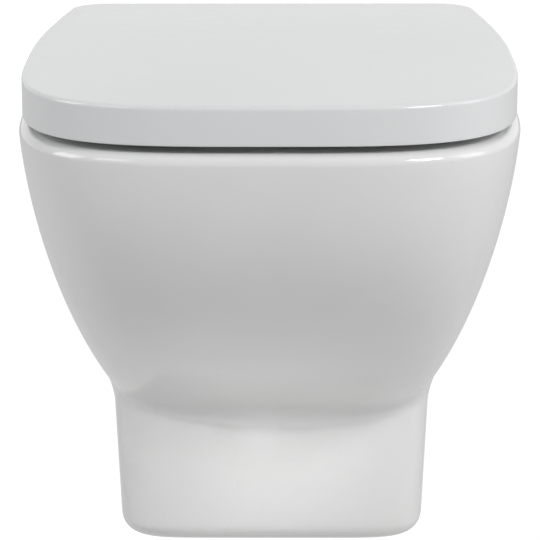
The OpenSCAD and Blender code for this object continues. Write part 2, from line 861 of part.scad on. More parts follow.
module clamp_screws() {
    head_x = seat_x + flange_t;
    color("silver")
        pair()
            difference() {
                union() {
                    side_rod(screw_d, screw_end, head_x - screw_end + over);
                    side_rod(head_d, head_x, head_h);
                }
                side_rod(hex_d, head_x + head_h - hex_h, hex_h + over, 6);
            }
}

module clamp_nuts() {
    x = arm_x - bracket_t - clamp_nut_h;
    color("silver")
        pair()
            difference() {
                side_rod(clamp_nut_d, x, clamp_nut_h, 6);
                side_rod(screw_d, x - over, clamp_nut_h + 2 * over);
            }
}

module screw_bushes() {
    color("dimgray")
        pair()
            difference() {
                union() {
                    side_rod(bush_d, arm_x, seat_x - arm_x + over);
                    side_rod(cap_d - 2 * flange_in, seat_x, flange_t);
                }
                side_rod(screw_d, arm_x - over, seat_x - arm_x + flange_t + 2 * over);
            }
}

// Outer surface of the pan near the side screw, raised a little
module cap_skin() {
    loft([for (z = steps(-cap_d, cap_d, 4)) body_ring(z, -cap_proud)]);
}

module cover_caps() {
    color("white")
        pair()
            difference() {
                hull()
                    intersection() {
                        side_rod(cap_d, seat_x + flange_t, pan_w / 2 - seat_x);
                        cap_skin();
                    }
                side_rod(head_d + 2 * head_side, seat_x + flange_t - over, head_h + head_front + over);
            }
}

pan();
lid();
seat_ring();
lid_buffers();
seat_buffers();
hinge_posts();
hinge_bases();
hinge_pins();
pin_caps();
lid_dampers();
ring_dampers();
hinge_studs();
deck_gaskets();
expansion_bushes();
bush_washers();
bush_nuts();
release_button_left();
release_button_right();
wall_brackets();
wall_washers();
wall_nuts();
clamp_screws();
clamp_nuts();
screw_bushes();
cover_caps();
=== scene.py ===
"""Dresses the wall hung toilet: smooth glazed pan, lid, seat ring, caps and metal finishes."""
import logging
import math
from dataclasses import dataclass, field
from enum import Enum
from functools import cache

import bmesh
import bpy
from mathutils import Matrix, Vector


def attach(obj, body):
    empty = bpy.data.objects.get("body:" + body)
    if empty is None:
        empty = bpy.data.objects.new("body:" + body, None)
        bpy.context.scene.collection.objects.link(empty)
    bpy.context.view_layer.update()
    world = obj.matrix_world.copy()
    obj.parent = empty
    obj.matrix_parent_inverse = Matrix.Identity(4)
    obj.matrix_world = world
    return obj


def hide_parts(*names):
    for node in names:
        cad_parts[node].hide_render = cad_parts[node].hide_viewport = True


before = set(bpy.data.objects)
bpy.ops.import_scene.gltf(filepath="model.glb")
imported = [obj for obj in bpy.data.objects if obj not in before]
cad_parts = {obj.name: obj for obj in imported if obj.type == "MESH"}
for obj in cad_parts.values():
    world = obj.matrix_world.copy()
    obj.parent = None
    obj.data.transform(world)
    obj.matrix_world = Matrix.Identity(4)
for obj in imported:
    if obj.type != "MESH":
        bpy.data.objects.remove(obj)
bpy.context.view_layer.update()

logging.basicConfig(level=logging.INFO, format="%(name)s: %(message)s")
log = logging.getLogger("toilet")

MM = 0.001
SMOOTH_ANGLE = math.radians(32.0)
ONE_BOUNCE = 2.5  # the surround counts its rays one higher than a surface does
SIDE_POINTS = 121
OVAL_POINTS = 160
OVAL_POWER = 2.5
WIDE = 96  # sides round a wide bore
HINGE_SIDES = 72
PLAN = (3.51, 4.29)  # powers of the outline's corners, across and along the reach
NOSE = 0.435  # depth of the outline's nose, as a share of the reach
TAPER = 1.61  # power of the sides' taper towards the wall
HEM = 0.3  # how far up a hem its middle step lies, as a share
TONES = (0.35, 0.65)  # noise values at which the dark tone ends and the light one starts
Point = tuple[float, float, float]
Flat = tuple[float, float]
Ring = list[Point]
Line = list[Flat]
Socket = bpy.types.NodeSocket
Solid = bpy.types.Object


class Body(Enum):
    """Bodies of the model that a piece can ride on."""

    PAN = "pan"
    RING = "seat_ring"
    LID = "lid"


class Join(Enum):
    """Ways in which one solid is worked into another."""

    ADD = "UNION"
    CUT = "DIFFERENCE"


# -------- finishes


def add_node(tree: bpy.types.NodeTree, kind: str, out: str,
             **inputs: Socket | float | Point) -> Socket:
    """Adds one node, with its inputs linked or set.

    Args:
        tree: the node tree.
        kind: the node's type, without its first word.
        out: the output wanted.
        inputs: input names with underscores for spaces, each with a field or a plain value.

    Returns:
        The output.
    """
    node = tree.nodes.new("ShaderNode" + kind)
    for name, value in inputs.items():
        socket = node.inputs[name.replace("_", " ")]
        if isinstance(value, Socket):
            tree.links.new(value, socket)
        else:
            socket.default_value = value
    return node.outputs[out]


def combine(tree: bpy.types.NodeTree, operation: str, a: Socket, b: Socket | float) -> Socket:
    """Combines two values in a node tree.

    Args:
        tree: the node tree.
        operation: the name of the sum.
        a: first value.
        b: second value, or a plain number.

    Returns:
        The result.
    """
    node = tree.nodes.new("ShaderNodeMath")
    node.operation = operation
    tree.links.new(a, node.inputs[0])
    if isinstance(b, float):
        node.inputs[1].default_value = b
    else:
        tree.links.new(b, node.inputs[1])
    return node.outputs[0]


class Nodes:
    """A new material's node tree, with its principled shader and a pattern space."""

    def __init__(self, name: str) -> None:
        """Starts the material.

        Args:
            name: the material's name.
        """
        self.material = bpy.data.materials.new(name)
        self.material.use_nodes = True
        self.tree = self.material.node_tree
        self.shader = self.tree.nodes["Principled BSDF"]
        self.space = self.tree.nodes.new("ShaderNodeTexCoord").outputs["Object"]

    def set(self, **sockets: float | tuple[float, ...]) -> None:
        """Sets the shader's own sockets, named with underscores for spaces."""
        for name, value in sockets.items():
            self.shader.inputs[name.replace("_", " ")].default_value = value

    def noise(self, scale: float, detail: float, stretch: Point) -> Socket:
        """A stretched noise field of scale features a metre and detail octaves of finer noise."""
        place = add_node(self.tree, "Mapping", "Vector", Vector=self.space, Scale=stretch)
        return add_node(self.tree, "TexNoise", "Fac", Vector=place, Scale=scale, Detail=detail)

    def specks(self, scale: float) -> Socket:
        """The distance to the nearest of small cells, scale of them a metre."""
        return add_node(self.tree, "TexVoronoi", "Distance", Vector=self.space, Scale=scale)

    def spread(self, value: Socket, low: float, high: float, start: float = 0.3,
               end: float = 0.7) -> Socket:
        """Maps a field onto a range: low at and below start, high at and above end."""
        return add_node(self.tree, "MapRange", "Result", Value=value, From_Min=start, From_Max=end,
                        To_Min=low, To_Max=high)

    def tones(self, value: Socket, low: Point, high: Point) -> Socket:
        """Maps a field onto two colours.

        Args:
            value: the field.
            low: colour where the field is low.
            high: colour where it is high.

        Returns:
            The colour socket.
        """
        node = self.tree.nodes.new("ShaderNodeValToRGB")
        first, last = node.color_ramp.elements
        for stop, position, colour in zip((first, last), TONES, (low, high)):
            stop.position, stop.color = position, (*colour, 1.0)
        self.tree.links.new(value, node.inputs["Fac"])
        return node.outputs["Color"]

    def bumps(self, *layers: tuple[Socket, float]) -> None:
        """Adds relief to the surface.

        Args:
            layers: height fields, each with its depth in metres.
        """
        under: dict[str, Socket] = {}
        for height, depth in layers:
            under["Normal"] = add_node(self.tree, "Bump", "Normal", Strength=1.0, Distance=depth,
                                       Height=height, **under)
        self.link(under["Normal"], "Normal")

    def link(self, value: Socket, name: str) -> None:
        """Links a field to one of the shader's sockets."""
        self.tree.links.new(value, self.shader.inputs[name])


@dataclass(frozen=True)
class Finish:
    """A finish: soft patches of two tones, a roughness that varies, and fine relief.

    Each pattern is given by its features a metre and its octaves of finer noise. Flow stretches
    the patches and grain stretches the other patterns.
    """

    name: str
    light: Point
    dark: Point
    rough: Flat
    patches: Flat = (60.0, 4.0)
    haze: Flat = (220.0, 3.0)
    relief: tuple[Point, ...] = ((1500.0, 2.0, 0.00005),)  # features, octaves, depth in metres
    flow: Point = (1.0, 1.0, 1.0)
    grain: Point = (1.0, 1.0, 1.0)
    pinholes: float = 0.0
    pinhole_reach: Flat = (0.02, 0.09)
    pinhole_depth: float = 0.00002
    index: float = 1.46
    metallic: float = 0.0
    coat: float = 0.0
    coat_rough: float = 0.03

    def material(self) -> bpy.types.Material:
        """Builds the finish.

        Returns:
            The material.
        """
        n = Nodes(self.name)
        n.set(IOR=self.index, Metallic=self.metallic, Coat_Weight=self.coat,
              Coat_Roughness=self.coat_rough)
        n.link(n.tones(n.noise(*self.patches, self.flow), self.dark, self.light), "Base Color")
        n.link(n.spread(n.noise(*self.haze, self.grain), *self.rough), "Roughness")
        layers = [(n.noise(scale, detail, self.grain), depth)
                  for scale, detail, depth in self.relief]
        if self.pinholes:
            holes = n.spread(n.specks(self.pinholes), 0.0, 1.0, *self.pinhole_reach)
            layers.append((holes, self.pinhole_depth))
        n.bumps(*layers)
        return n.material


# White vitreous glaze: a deep gloss over slow waves, with faint pooling and pinholes.
GLAZE = Finish("white_glaze", (0.875, 0.878, 0.872), (0.845, 0.850, 0.846), (0.045, 0.09),
               patches=(7.0, 3.0), haze=(55.0, 4.0),
               relief=((11.0, 1.0, 0.00044), (38.0, 2.0, 0.000055)), pinholes=240.0,
               index=1.52, coat=0.35)
# Bare fired clay inside the pan's hollow: matt, warm and slightly grainy.
BISQUE = Finish("bare_clay", (0.78, 0.76, 0.71), (0.69, 0.66, 0.60), (0.62, 0.85),
                patches=(28.0, 5.0), haze=(90.0, 2.0),
                relief=((900.0, 3.0, 0.0002), (30.0, 2.0, 0.0006)), index=1.45)
# White thermoset moulding: even gloss with a hint of moulding flow.
SEAT_PLASTIC = Finish("white_thermoset", (0.835, 0.845, 0.850), (0.815, 0.826, 0.833),
                      (0.15, 0.19), patches=(5.0, 3.0), haze=(60.0, 3.0),
                      relief=((7.0, 1.0, 0.00003),), flow=(1.0, 0.4, 1.0), index=1.5,
                      coat=0.2, coat_rough=0.08)
CHROME = Finish("polished_chrome", (0.80, 0.81, 0.82), (0.76, 0.77, 0.785), (0.05, 0.11),
                patches=(36.0, 4.0), haze=(90.0, 3.0), relief=((360.0, 2.0, 0.00001),),
                index=1.5, metallic=1.0)
# Bright steel, with its grain drawn out across the pan.
STEEL = Finish("bright_steel", (0.66, 0.665, 0.67), (0.57, 0.575, 0.58), (0.22, 0.36),
               patches=(104.0, 4.0), haze=(260.0, 3.0), relief=((1040.0, 2.0, 0.00003),),
               flow=(0.25, 1.0, 1.0), grain=(0.25, 1.0, 1.0), index=1.5, metallic=1.0)
ZINC = Finish("zinc_plate", (0.68, 0.70, 0.72), (0.53, 0.55, 0.58), (0.28, 0.5),
              patches=(60.0, 4.0), haze=(150.0, 3.0), relief=((600.0, 2.0, 0.00004),),
              index=1.5, metallic=1.0)
DARK_PLASTIC = Finish("dark_nylon", (0.075, 0.075, 0.08), (0.05, 0.05, 0.055), (0.4, 0.55))
RUBBER = Finish("black_rubber", (0.035, 0.035, 0.036), (0.022, 0.022, 0.023), (0.6, 0.8),
                relief=((1500.0, 2.0, 0.0001),))
BUFFER = Finish("soft_buffer", (0.72, 0.72, 0.715), (0.66, 0.66, 0.655), (0.4, 0.55),
                relief=((1500.0, 2.0, 0.00006),))
CAP_PLASTIC = Finish("cap_plastic", (0.85, 0.853, 0.85), (0.83, 0.833, 0.83), (0.16, 0.24),
                     relief=((1500.0, 2.0, 0.000008),))


@cache
def material_of(finish: Finish) -> bpy.types.Material:
    """The material of a finish, built the first time that it is asked for."""
    return finish.material()


# -------- work on the bench


def only(*objects: Solid) -> None:
    """Selects these objects alone and makes the first one active.

    Args:
        objects: the objects to work on.
    """
    bpy.ops.object.select_all(action="DESELECT")
    for o in objects:
        o.select_set(True)
    bpy.context.view_layer.objects.active = objects[0]


def stack(name: str, rings: list[Ring], closed: bool = False) -> Solid:
    """Raises a solid from a disc by extruding it through a list of outlines.

    Args:
        name: the new object's name.
        rings: outlines in millimetres, all with the same number of points.
        closed: True where the last outline meets the first, as round a seat ring.

    Returns:
        The new object, with its faces outwards.
    """
    bpy.ops.object.select_all(action="DESELECT")
    bpy.ops.mesh.primitive_circle_add(vertices=len(rings[0]), radius=1.0,
                                      fill_type="NOTHING" if closed else "NGON")
    obj = bpy.context.object
    obj.name = obj.data.name = name
    for vertex, point in zip(obj.data.vertices, rings[0]):
        vertex.co = Vector(point) * MM
    bpy.ops.object.mode_set(mode="EDIT")
    bpy.ops.mesh.select_mode(type="EDGE" if closed else "FACE")
    bpy.ops.mesh.select_all(action="SELECT")
    bm = bmesh.from_edit_mesh(obj.data)
    place = {tuple(v.co): i for i, v in enumerate(bm.verts)}
    for ring in rings[1:]:
        bpy.ops.mesh.extrude_region_move()
        bm = bmesh.from_edit_mesh(obj.data)
        following = {}
        for v in bm.verts:
            if v.select:
                i = place[tuple(v.co)]
                v.co = Vector(ring[i]) * MM
                following[tuple(v.co)] = i
        place = following
        bmesh.update_edit_mesh(obj.data)
    bpy.ops.mesh.select_all(action="SELECT")
    bpy.ops.mesh.remove_doubles(threshold=1e-7)
    bpy.ops.mesh.normals_make_consistent(inside=False)
    bpy.ops.object.mode_set(mode="OBJECT")
    return obj


def rod(name: str, radius: float, start: Point, end: Point, sides: int = 64) -> Solid:
    """A round bar between two points.

    Args:
        name: the new object's name.
        radius: its radius, in millimetres.
        start: the middle of one end, in millimetres.
        end: the middle of the other end.
        sides: faces round it.

    Returns:
        The new object.
    """
    a, b = Vector(start) * MM, Vector(end) * MM
    bpy.ops.object.select_all(action="DESELECT")
    bpy.ops.mesh.primitive_cylinder_add(vertices=sides, radius=radius * MM, depth=(b - a).length)
    obj = bpy.context.object
    obj.name = obj.data.name = name
    turn = Vector((0.0, 0.0, 1.0)).rotation_difference(b - a).to_matrix().to_4x4()
    obj.data.transform(Matrix.Translation((a + b) / 2) @ turn)
    return obj


def block(name: str, low: Point, high: Point) -> Solid:
    """A square cutter or web between two corners.

    Args:
        name: the new object's name.
        low: lowest corner, in millimetres.
        high: highest corner.

    Returns:
        The new object.
    """
    bpy.ops.object.select_all(action="DESELECT")
    bpy.ops.mesh.primitive_cube_add(size=1.0)
    obj = bpy.context.object
    obj.name = obj.data.name = name
    size = (Vector(high) - Vector(low)) * MM
    middle = (Vector(high) + Vector(low)) * MM / 2
    obj.data.transform(Matrix.Translation(middle) @ Matrix.Diagonal((*size, 1.0)))
    return obj


def work(target: Solid, tool: Solid, how: Join) -> None:
    """Works one solid into another and throws the tool away.

    Args:
        target: the piece.
        tool: the solid to add or cut.
        how: add or cut.
    """
    if not tool.data.materials and target.data.materials:
        for m in target.data.materials:
            tool.data.materials.append(m)
    mod = target.modifiers.new(how.name.lower(), "BOOLEAN")
    mod.operation = how.value
    mod.solver = "MANIFOLD"
    mod.object = tool
    only(target)
    bpy.ops.object.modifier_apply(modifier=mod.name)
    mesh = tool.data
    bpy.data.objects.remove(tool)
    bpy.data.meshes.remove(mesh)


def paint(obj: Solid, materials: list[bpy.types.Material], index: int = 0) -> None:
    """Gives a solid its material slots and one of them all over.

    Args:
        obj: the solid.
        materials: the slots in order.
        index: the slot that its faces take.
    """
    for m in materials:
        obj.data.materials.append(m)
    for face in obj.data.polygons:
        face.material_index = index


def finish_piece(obj: Solid, body: Body, node: str) -> None:
    """Smooths a piece, puts it on its body and stands it in for its solids.

    Args:
        obj: the piece.
        body: the body that it rides on.
        node: the solids that it replaces.
    """
    only(obj)
    bpy.ops.object.shade_smooth_by_angle(angle=SMOOTH_ANGLE)
    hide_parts(node)
    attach(obj, body.value)
    log.info("%s: %d faces, rides on %s", obj.name, len(obj.data.polygons), body.value)


# -------- forms


def smooth_max(a: float, b: float, k: float) -> float:
    """The larger of two numbers, with a soft corner of width k."""
    h = max(k - abs(a - b), 0.0) / k
    return max(a, b) + h * h * k / 4.0


def signed_pow(a: float, n: float) -> float:
    """A power that keeps the sign of its base."""
    return math.copysign(abs(a) ** n, a)


def edge_in(radius: float, distance: float) -> float:
    """Inset of a rounded edge.

    Args:
        radius: the edge's radius.
        distance: how far the point is from the face that the edge turns into.

    Returns:
        The inset there.
    """
    if distance >= radius:
        return 0.0
    return radius - math.sqrt(max(radius ** 2 - (radius - distance) ** 2, 0.0))


def steps(a: float, b: float, n: int) -> list[float]:
    """Even steps from a to b, both included."""
    return [a + (b - a) * i / n for i in range(n + 1)]


def angles(count: int) -> list[float]:
    """Even angles round a full turn."""
    return [2 * math.pi * i / count for i in range(count)]


def even(points: Line, count: int) -> Line:
    """Spreads points evenly along an open line.

    Args:
        points: the line.
        count: how many points to return, both ends included.

    Returns:
        The even points.
    """
    run = [0.0]
    for p, q in zip(points, points[1:]):
        run.append(run[-1] + math.dist(p, q))
    result, k = [], 0
    for i in range(count):
        at = run[-1] * i / (count - 1)
        while k < len(points) - 2 and run[k + 1] < at:
            k += 1
        share = (at - run[k]) / max(run[k + 1] - run[k], 1e-9)
        (x0, y0), (x1, y1) = points[k], points[k + 1]
        result.append((x0 + (x1 - x0) * share, y0 + (y1 - y0) * share))
    return result


def inset(points: Line, by: float) -> Line:
    """Moves a half outline inwards, square to itself.

    Args:
        points: half outline from the front's middle round to the back's middle.
        by: distance inwards, in millimetres.

    Returns:
        The moved half outline, still ending on the middle line.
    """
    result = []
    for i, (x, y) in enumerate(points):
        x0, y0 = points[max(i - 1, 0)]
        x1, y1 = points[min(i + 1, len(points) - 1)]
        if i == 0:
            dx, dy = 1.0, 0.0
        elif i == len(points) - 1:
            dx, dy = -1.0, 0.0
        else:
            dx, dy = x1 - x0, y1 - y0
        size = math.hypot(dx, dy)
        result.append((max(x - by * dy / size, 0.0), y + by * dx / size))
    return result


def whole(half: Line, z: float) -> Ring:
    """Mirrors a half outline into a ring at one height."""
    return [(x, y, z) for x, y in half] + [(-x, y, z) for x, y in reversed(half[1:-1])]


@dataclass(frozen=True)
class BodyForm:
    """Outer form of the ceramic body, in millimetres from the wall fixings."""

    width: float = 366.0
    reach: float = 520.0
    rim: float = 80.0
    base: float = -278.5
    wall_width: float = 296.0
    side_draw: float = 65.5
    front_draw: float = 227.0
    draw: float = 260.0
    side_power: float = 1.43
    front_power: float = 2.3
    plinth_width: float = 246.5
    plinth_draft: float = 9.0
    plinth_reach: float = 303.0
    plinth_power: float = 8.0
    plinth_shoulder: float = 110.0
    blend: Flat = (8.0, 34.0)
    hub: float = -190.0
    past: float = 30.0
    draw_past: float = 40.0
    farthest: float = 700.0
    halvings: int = 20

    def inside(self, x: float, y: float, v: tuple[float, ...]) -> bool:
        """Whether a point lies inside a plan outline.

        Args:
            x: distance from the middle plane.
            y: place along the reach, negative in front of the wall.
            v: half width, reach, nose depth, half width at the wall and the two corner powers.

        Returns:
            True inside.
        """
        w, reach, nose, back, px, py = v
        shoulder = nose - reach
        if y > self.past:
            return False
        if y > shoulder:
            return x < w - (w - back) * ((y - shoulder) / -shoulder) ** TAPER
        return (x / w) ** px + ((shoulder - y) / nose) ** py < 1.0

    def radius(self, c: float, s: float, v: tuple[float, ...]) -> float:
        """Finds a plan outline in one direction from the hub, by halving.

        Args:
            c: the direction's share across.
            s: its share along the reach.
            v: the outline, as inside takes it.

        Returns:
            The distance.
        """
        low, high = 0.0, self.farthest
        for _ in range(self.halvings):
            mid = (low + high) / 2
            if self.inside(mid * c, self.hub + mid * s, v):
                low = mid
            else:
                high = mid
        return (low + high) / 2

    def half(self, z: float, by: float, count: int) -> Line:
        """Half outline of the body at one height.

        Args:
            z: the height.
            by: inset from the outside.
            count: points from the front's middle to the back's.

        Returns:
            The half outline.
        """
        depth = self.rim - z
        d = min(max(depth, 0.0), self.draw + self.draw_past)
        w = self.width / 2 - self.side_draw * (d / self.draw) ** self.side_power
        reach = self.reach - self.front_draw * (d / self.draw) ** self.front_power
        back = w * (self.wall_width / self.width
                    + (1 - self.wall_width / self.width) * min(d / self.draw, 1.0))
        body = (w - by, reach - by, NOSE * reach, back - by, *PLAN)
        height = self.rim - self.base - self.draw
        pw = self.plinth_width / 2 - self.plinth_draft / 2 * (depth - self.draw) / height - by
        plinth = (pw, self.plinth_reach - by, self.plinth_shoulder, pw, self.plinth_power,
                  self.plinth_power)
        result = []
        for i in range(count):
            a = math.radians(-90.0 + 180.0 * i / (count - 1))
            c, s = max(math.cos(a), 0.0), math.sin(a)
            k = self.blend[0] + (self.blend[1] - self.blend[0]) * max(-s, 0.0) ** 4
            r = smooth_max(self.radius(c, s, body), self.radius(c, s, plinth), k)
            result.append((r * c, self.hub + r * s))
        return result

    def side(self, y: float, z: float) -> float:
        """Half width of the body's outside at one point of its side.

        Args:
            y: place along the reach.
            z: height.

        Returns:
            The half width.
        """
        half = self.half(z, 0.0, SIDE_POINTS)
        (x0, y0), (x1, y1) = next(pair for pair in zip(half, half[1:])
                                  if pair[0][1] <= y <= pair[1][1])
        return x0 + (x1 - x0) * (y - y0) / (y1 - y0)


@dataclass(frozen=True)
class Egg:
    """Egg outline of the bowl, its mouth or its channel."""

    half_width: float
    front: float
    back: float

    def grown(self, by: float) -> "Egg":
        """The outline moved outwards all round."""
        return Egg(self.half_width + by, self.front - by, self.back + by)

    def ring(self, z: float) -> Ring:
        """The outline at one height."""
        middle, reach = (self.front + self.back) / 2, (self.back - self.front) / 2
        return [(self.half_width * signed_pow(math.sin(g), 2 / OVAL_POWER),
                 middle - reach * signed_pow(math.cos(g), 2 / OVAL_POWER), z)
                for g in angles(OVAL_POINTS)]


# -------- the pan


@dataclass
class Pan:
    """The ceramic pan: body, bowl, flush channel, trap, sockets and hollow back."""

    form: BodyForm = field(default_factory=BodyForm)
    wall: float = 10.0
    shell: float = 9.0
    deck: float = 14.0
    rim_round: float = 8.0
    base_round: float = 16.0
    back_round: float = 2.0
    foot: float = 6.0
    around: int = 145
    around_hollow: int = 73
    crease: Flat = (30.0, 50.0)  # how far its close levels go below and above it
    level_counts: tuple[int, int, int] = (6, 26, 30)
    lip_drop: float = 34.0
    lip: float = 8.0
    channel: float = 20.0
    channel_round: Flat = (6.0, 1.8)  # the roof's rounding, and its inset half way round
    mouth: Egg = Egg(120.0, -478.0, -154.0)
    mouth_round: float = 4.0
    bowl: Egg = Egg(138.0, -493.0, -140.0)
    bowl_levels: int = 40
    bowl_power: float = 1.5
    trap: float = 34.0
    trap_points: int = 56
    bend: Point = (-193.0, -232.0, 50.0)  # place along the reach, height, radius
    well_turn: float = 20.0
    rise: float = 70.0
    leg_radius: float = 75.0
    leg_steps: int = 14
    outlet: Point = (51.0, 42.0, -100.0)  # outer radius, bore, height
    spigot: Flat = (-56.0, -22.0)
    inlet: Point = (27.5, 36.5, 35.0)  # bore, outer radius, height
    socket: Flat = (-74.0, -30.0)
    socket_floor: float = 10.0
    neck_front: float = -144.0
    duct: float = 20.0
    duct_reach: Flat = (-152.0, -60.0)
    hinge: Point = (77.5, -76.0, 7.0)  # place across, along the reach, radius of the hole
    screw_y: float = -56.0
    arm: float = 134.45
    cap_seat: float = 144.45
    cap_radius: float = 13.0
    boss_wall: float = 6.8
    boss_end: float = 152.0
    bush_radius: float = 8.0
    outside: float = 190.0
    over: float = 2.0

    def body(self) -> Solid:
        """The solid outside of the pan, cut square at the wall, with most levels at the crease.

        Returns:
            The solid.
        """
        f, r, b = self.form, self.rim_round, self.base_round
        below, at_crease, above = self.level_counts
        low, high = f.rim - f.draw - self.crease[0], f.rim - f.draw + self.crease[1]
        levels = [f.base + b * (1 - math.cos(math.radians(a))) for a in range(0, 90, 9)]
        levels += steps(f.base + b, low - 4, below) + steps(low, high, at_crease)
        levels += steps(high + 5, f.rim - r, above)
        levels += [f.rim - r * (1 - math.sin(math.radians(a))) for a in range(9, 91, 9)]
        rings = []
        for z in levels:
            half = f.half(z, edge_in(b, z - f.base) + edge_in(r, f.rim - z), self.around)
            rings.append(whole(self.off_wall(half), z))
        obj = stack("pan_casting", rings)
        bpy.ops.object.mode_set(mode="EDIT")
        bpy.ops.mesh.select_all(action="SELECT")
        bpy.ops.mesh.bisect(plane_co=(0, 0, 0), plane_no=(0, 1, 0), use_fill=True, clear_outer=True)
        bpy.ops.mesh.select_mode(type="EDGE")
        bpy.ops.mesh.select_all(action="DESELECT")
        bm = bmesh.from_edit_mesh(obj.data)
        for e in bm.edges:
            if all(abs(v.co.y) < 1e-6 for v in e.verts):
                e.select = True
        bm.select_flush_mode()
        bmesh.update_edit_mesh(obj.data)
        bpy.ops.mesh.bevel(offset=self.back_round * MM, segments=4)
        bpy.ops.object.mode_set(mode="OBJECT")
        return obj

    def off_wall(self, half: Line) -> Line:
        """Slides points off the wall plane along the outline, to leave room for its rounded edge.

        Args:
            half: half outline.

        Returns:
            The half outline with its points near the wall moved.
        """
        room, result = self.back_round + 1.0, list(half)
        for i in range(1, len(half) - 1):
            x, y = half[i]
            if abs(y) < room:
                side = -1 if y < 0 else 1
                x1, y1 = half[i + side]
                result[i] = (x + (x1 - x) * (side * room - y) / (y1 - y), side * room)
        return result

    def hollow(self) -> Solid:
        """The space inside the outer wall, open at the back.

        Returns:
            The cutter.
        """
        f, w = self.form, self.wall
        low = f.base + w
        rings = [whole(f.half(low, w + self.foot, self.around_hollow), low)]
        rings += [whole(f.half(z, w, self.around_hollow), z)
                  for z in steps(low + self.foot, f.rim - self.deck, 26)]
        return stack("hollow", rings)

    def bowl_rings(self, grow: float) -> list[Ring]:
        """Outlines of the bowl from its well up to the lip.

        Args:
            grow: how far they are moved outwards.

        Returns:
            The rings.
        """
        y, z, r = self.bend
        turn = math.radians(self.well_turn)
        well_y, well_z = y - r * math.cos(turn), z + r * (1 - math.sin(turn))
        well = self.trap + self.over
        bowl, top = self.bowl, self.form.rim - self.lip_drop
        rings = []
        for u in (i / self.bowl_levels for i in range(self.bowl_levels + 1)):
            s = math.sin(math.pi / 2 * u) ** self.bowl_power
            egg = Egg(well + (bowl.half_width - well) * s,
                      well_y - well + (bowl.front - well_y + well) * s,
                      well_y + well + (bowl.back - well_y - well) * s)
            rings.append(egg.grown(grow).ring(well_z + (top - well_z) * u))
        return rings

    def trap_rings(self, grow: float) -> list[Ring]:
        """Rings of the trap, down round its bend, up the leg and out through the spigot.

        Args:
            grow: how far they are moved outwards.

        Returns:
            The rings.
        """
        y, z, r = self.bend
        rise = math.radians(self.rise)
        _, bore, level = self.outlet
        path = [(y + r * math.sin(a), z + r * (1 - math.cos(a)), a, self.trap)
                for a in map(math.radians, range(-90, round(self.rise) + 1, 8))]
        end_y, end_z = path[-1][0], path[-1][1]
        leg = level - self.leg_radius * (1 - math.cos(rise)) - end_z
        ly, lz = end_y + leg / math.tan(rise), end_z + leg
        for share in (k / self.leg_steps for k in range(self.leg_steps + 1)):
            a = rise * (1 - share)
            path.append((ly + self.leg_radius * (math.sin(rise) - math.sin(a)),
                         lz + self.leg_radius * (math.cos(a) - math.cos(rise)), a,
                         self.trap + (bore - self.trap) * share))
        path.append((self.spigot[0] + 1.0, level, 0.0, bore))
        rings = []
        for py, pz, a, radius in path:
            full = radius + grow
            rings.append([(full * math.cos(g), py - full * math.sin(g) * math.sin(a),
                           pz + full * math.sin(g) * math.cos(a))
                          for g in angles(self.trap_points)])
        return rings

    def mouth_solids(self) -> list[Solid]:
        """The mouth and the flush channel behind the hanging lip.

        Returns:
            The two cutters.
        """
        top, r, mouth, bowl = self.form.rim, self.mouth_round, self.mouth, self.bowl
        low = top - self.lip_drop
        rings = [mouth.ring(low - self.over), mouth.ring(top - r)]
        rings += [mouth.grown(r * (1 - math.cos(g))).ring(top - r + r * math.sin(g))
                  for g in map(math.radians, range(10, 91, 10))]
        rings.append(mouth.grown(r).ring(top + self.over))
        roof, (bend, turn) = low + self.channel, self.channel_round
        channel = stack("channel", [bowl.ring(low - 0.01), bowl.ring(roof - bend),
                                    bowl.grown(-turn).ring(roof - turn),
                                    bowl.grown(-bend).ring(roof)])
        behind = mouth.grown(self.lip)
        work(channel, stack("lip", [behind.grown(-2.0).ring(low - 1), behind.ring(low + 2),
                                    behind.ring(top)]), Join.CUT)
        return [stack("mouth", rings), channel]

    def build(self) -> None:
        """Casts the pan."""
        slots = [material_of(GLAZE), material_of(BISQUE)]
        pan = self.body()
        paint(pan, slots)
        hollow = self.hollow()
        paint(hollow, slots, 1)
        work(pan, hollow, Join.CUT)
        for part in self.inner_solids():
            paint(part, slots, 1)
            work(pan, part, Join.ADD)
        for part in [stack("bowl", self.bowl_rings(0.0)), stack("trap", self.trap_rings(0.0)),
                     *self.mouth_solids(), *self.bores()]:
            paint(part, slots)
            work(pan, part, Join.CUT)
        finish_piece(pan, Body.PAN, "pan")

    def side_rod(self, name: str, radius: float, x0: float, x1: float) -> Solid:
        """A round bar on the line of the side screws."""
        return rod(name, radius, (x0, self.screw_y, 0), (x1, self.screw_y, 0))

    def inner_solids(self) -> list[Solid]:
        """Walls that stand inside the hollow: bowl, trap, spigot, inlet and screw bosses.

        Returns:
            The solids to add.
        """
        g, under_deck = self.shell, self.form.rim - self.deck
        rings = self.bowl_rings(g) + [self.bowl.grown(g).ring(under_deck + 1)]
        _, boss, level = self.inlet
        out, _, waste = self.outlet
        root, end = self.socket[0] - self.socket_floor, self.socket[1]
        solids = [stack("bowl_wall", rings), stack("trap_wall", self.trap_rings(g)),
                  rod("spigot", out, (0, self.spigot[0] - 1, waste),
                      (0, self.spigot[1], waste), WIDE),
                  rod("neck", under_deck - level + 1.0, (0, self.neck_front, level),
                      (0, root + 1, level)),
                  rod("socket", boss, (0, root, level), (0, end, level), WIDE)]
        for side in (-1, 1):
            solids.append(self.side_rod("boss", self.cap_radius + self.boss_wall,
                                        side * (self.arm + 0.5), side * self.boss_end))
        return solids

